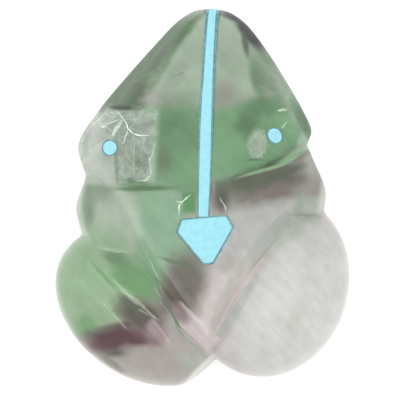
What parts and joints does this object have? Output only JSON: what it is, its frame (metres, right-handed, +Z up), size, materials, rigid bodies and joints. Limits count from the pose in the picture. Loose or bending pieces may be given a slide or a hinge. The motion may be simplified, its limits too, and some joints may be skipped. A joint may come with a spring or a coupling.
{
  "type": "zuni fetish",
  "caption": "Small crouching frog carved from banded translucent fluorite, with an inlaid turquoise heartline, arrowhead and round eyes, flat underneath.",
  "frame": {"origin": "on the ground under the middle of the carving, at the bottom centre of its box", "axes": "+Z up, the nose points along -Y and the rump along +Y, and the frog's own left side is at +X"},
  "size_m": [0.0345, 0.044, 0.017],
  "materials": {
    "fluorite": "polished translucent fluorite, banded green, purple and clear",
    "turquoise": "light blue turquoise, ground flush with the stone and polished"
  },
  "bodies": {
    "root": {"frog_body": "fluorite", "heartline": "turquoise", "arrowhead": "turquoise", "eye_left": "turquoise", "eye_right": "turquoise"}
  },
  "joints": []
}
